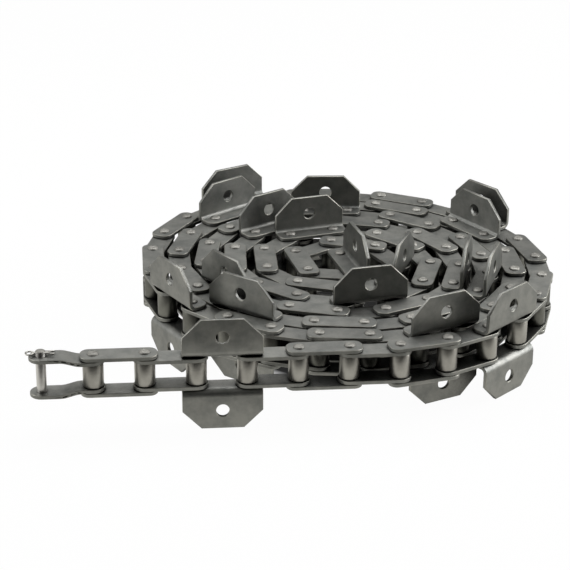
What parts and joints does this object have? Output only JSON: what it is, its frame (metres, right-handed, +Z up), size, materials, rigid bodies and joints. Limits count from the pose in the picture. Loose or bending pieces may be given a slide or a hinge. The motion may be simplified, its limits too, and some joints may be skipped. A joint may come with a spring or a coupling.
{
  "type": "conveyor chain",
  "caption": "Coiled roller conveyor chain with offset end link, rollers on bushes, riveted pins and bent attachment wings with bolt holes.",
  "frame": {"origin": "on the floor under the middle of the whole chain's box", "axes": "+Z up along the pins, +X along the straight run from the free end into the coil, -Y from the coil out to the straight run"},
  "size_m": [0.4594, 0.3626, 0.097],
  "materials": {
    "plate_steel": "satin",
    "roller_steel": "satin",
    "pin_steel": "satin",
    "split_pin_steel": "satin"
  },
  "bodies": {
    "coil": {"link_11_plates": "plate_steel", "link_11_bush": "pin_steel", "coil_inner_plates_upper": "plate_steel", "coil_outer_plates_upper": "plate_steel", "coil_attachments_upper": "plate_steel", "coil_pin_heads_upper": "pin_steel", "coil_inner_plates_lower": "plate_steel", "coil_outer_plates_lower": "plate_steel", "coil_attachments_lower": "plate_steel", "coil_pin_heads_lower": "pin_steel", "coil_rollers": "roller_steel", "coil_last_pin": "pin_steel"},
    "link_01": {"link_01_plate_upper": "plate_steel", "link_01_plate_lower": "plate_steel", "link_01_bush": "pin_steel", "link_01_connecting_pin": "pin_steel", "link_01_split_pin": "split_pin_steel"},
    "link_02": {"link_02_plates": "plate_steel", "link_02_pins": "pin_steel"},
    "link_03": {"link_03_plates": "plate_steel", "link_03_bushes": "pin_steel"},
    "link_04": {"link_04_attachment_upper": "plate_steel", "link_04_attachment_lower": "plate_steel", "link_04_pins": "pin_steel"},
    "link_05": {"link_05_plates": "plate_steel", "link_05_bushes": "pin_steel"},
    "link_06": {"link_06_plates": "plate_steel", "link_06_pins": "pin_steel"},
    "link_07": {"link_07_plates": "plate_steel", "link_07_bushes": "pin_steel"},
    "link_08": {"link_08_plates": "plate_steel", "link_08_pins": "pin_steel"},
    "link_09": {"link_09_plates": "plate_steel", "link_09_bushes": "pin_steel"},
    "link_10": {"link_10_attachment_upper": "plate_steel", "link_10_attachment_lower": "plate_steel", "link_10_pins": "pin_steel"},
    "roller_01": {"roller_01": "roller_steel"},
    "roller_02": {"roller_02": "roller_steel"},
    "roller_03": {"roller_03": "roller_steel"},
    "roller_04": {"roller_04": "roller_steel"},
    "roller_05": {"roller_05": "roller_steel"},
    "roller_06": {"roller_06": "roller_steel"},
    "roller_07": {"roller_07": "roller_steel"},
    "roller_08": {"roller_08": "roller_steel"},
    "roller_09": {"roller_09": "roller_steel"},
    "roller_10": {"roller_10": "roller_steel"}
  },
  "joints": [
    {"name": "link_10_hinge", "type": "hinge", "parent": "coil", "child": "link_10", "pos_m": [0.18075, -0.1149, 0.0485], "axis": [0, 0, 1], "range_deg": [0, 60]},
    {"name": "link_09_hinge", "type": "hinge", "parent": "link_10", "child": "link_09", "pos_m": [0.14987, -0.14247, 0.0485], "axis": [0, 0, 1], "range_deg": [0, 45]},
    {"name": "link_08_hinge", "type": "hinge", "parent": "link_09", "child": "link_08", "pos_m": [0.11306, -0.16142, 0.0485], "axis": [0, 0, 1], "range_deg": [0, 45]},
    {"name": "link_07_hinge", "type": "hinge", "parent": "link_08", "child": "link_07", "pos_m": [0.07277, -0.17092, 0.0485], "axis": [0, 0, 1], "range_deg": [0, 45]},
    {"name": "link_06_hinge", "type": "hinge", "parent": "link_07", "child": "link_06", "pos_m": [0.03137, -0.17092, 0.0485], "axis": [0, 0, 1], "range_deg": [0, 45]},
    {"name": "link_05_hinge", "type": "hinge", "parent": "link_06", "child": "link_05", "pos_m": [-0.01003, -0.17092, 0.0485], "axis": [0, 0, 1], "range_deg": [0, 45]},
    {"name": "link_04_hinge", "type": "hinge", "parent": "link_05", "child": "link_04", "pos_m": [-0.05143, -0.17092, 0.0485], "axis": [0, 0, 1], "range_deg": [-8, 45]},
    {"name": "link_03_hinge", "type": "hinge", "parent": "link_04", "child": "link_03", "pos_m": [-0.09283, -0.17092, 0.0485], "axis": [0, 0, 1], "range_deg": [-20, 45]},
    {"name": "link_02_hinge", "type": "hinge", "parent": "link_03", "child": "link_02", "pos_m": [-0.13423, -0.17092, 0.0485], "axis": [0, 0, 1], "range_deg": [-35, 60]},
    {"name": "link_01_hinge", "type": "hinge", "parent": "link_02", "child": "link_01", "pos_m": [-0.17563, -0.17092, 0.0485], "axis": [0, 0, 1], "range_deg": [-70, 90]},
    {"name": "roller_01_spin", "type": "hinge", "parent": "link_01", "child": "roller_01", "pos_m": [-0.17563, -0.17092, 0.0485], "axis": [0, 0, 1], "continuous": true},
    {"name": "roller_02_spin", "type": "hinge", "parent": "link_03", "child": "roller_02", "pos_m": [-0.13423, -0.17092, 0.0485], "axis": [0, 0, 1], "continuous": true},
    {"name": "roller_03_spin", "type": "hinge", "parent": "link_03", "child": "roller_03", "pos_m": [-0.09283, -0.17092, 0.0485], "axis": [0, 0, 1], "continuous": true},
    {"name": "roller_04_spin", "type": "hinge", "parent": "link_05", "child": "roller_04", "pos_m": [-0.05143, -0.17092, 0.0485], "axis": [0, 0, 1], "continuous": true},
    {"name": "roller_05_spin", "type": "hinge", "parent": "link_05", "child": "roller_05", "pos_m": [-0.01003, -0.17092, 0.0485], "axis": [0, 0, 1], "continuous": true},
    {"name": "roller_06_spin", "type": "hinge", "parent": "link_07", "child": "roller_06", "pos_m": [0.03137, -0.17092, 0.0485], "axis": [0, 0, 1], "continuous": true},
    {"name": "roller_07_spin", "type": "hinge", "parent": "link_07", "child": "roller_07", "pos_m": [0.07277, -0.17092, 0.0485], "axis": [0, 0, 1], "continuous": true},
    {"name": "roller_08_spin", "type": "hinge", "parent": "link_09", "child": "roller_08", "pos_m": [0.11306, -0.16142, 0.0485], "axis": [0, 0, 1], "continuous": true},
    {"name": "roller_09_spin", "type": "hinge", "parent": "link_09", "child": "roller_09", "pos_m": [0.14987, -0.14247, 0.0485], "axis": [0, 0, 1], "continuous": true},
    {"name": "roller_10_spin", "type": "hinge", "parent": "coil", "child": "roller_10", "pos_m": [0.18075, -0.1149, 0.0485], "axis": [0, 0, 1], "continuous": true}
  ]
}
